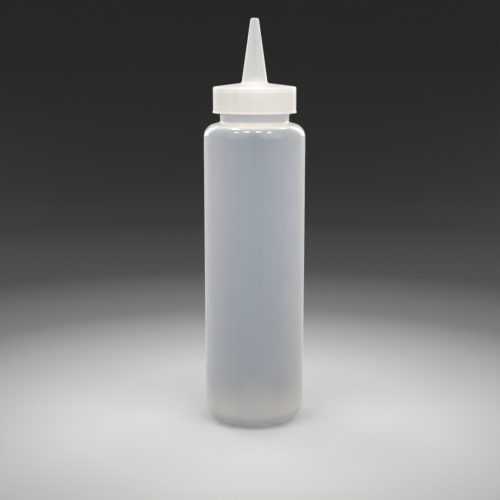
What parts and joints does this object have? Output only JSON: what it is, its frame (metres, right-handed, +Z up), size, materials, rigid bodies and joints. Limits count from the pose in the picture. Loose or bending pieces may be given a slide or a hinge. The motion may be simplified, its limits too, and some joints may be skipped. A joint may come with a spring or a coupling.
{
  "type": "sauce squeeze bottle",
  "caption": "Round translucent squeeze bottle with a rounded shoulder and a screw cap that carries a long tapering nozzle, for serving sauce.",
  "frame": {"origin": "On the standing plane, in the middle of the base.", "axes": "+Z up along the bottle's axis, from the base to the nozzle's tip. The part is round, so X and Y are alike; the picture looks along +Y."},
  "size_m": [0.054, 0.054, 0.2177],
  "materials": {
    "bottle_polyethylene": "satin",
    "cap_polyethylene": "satin"
  },
  "bodies": {
    "bottle": {"bottle": "bottle_polyethylene"},
    "cap": {"nozzle_cap": "cap_polyethylene"}
  },
  "joints": [
    {"name": "cap_lift", "type": "slide", "parent": "bottle", "child": "cap", "axis": [0, 0, 1], "range_m": [0, 0.03]}
  ]
}
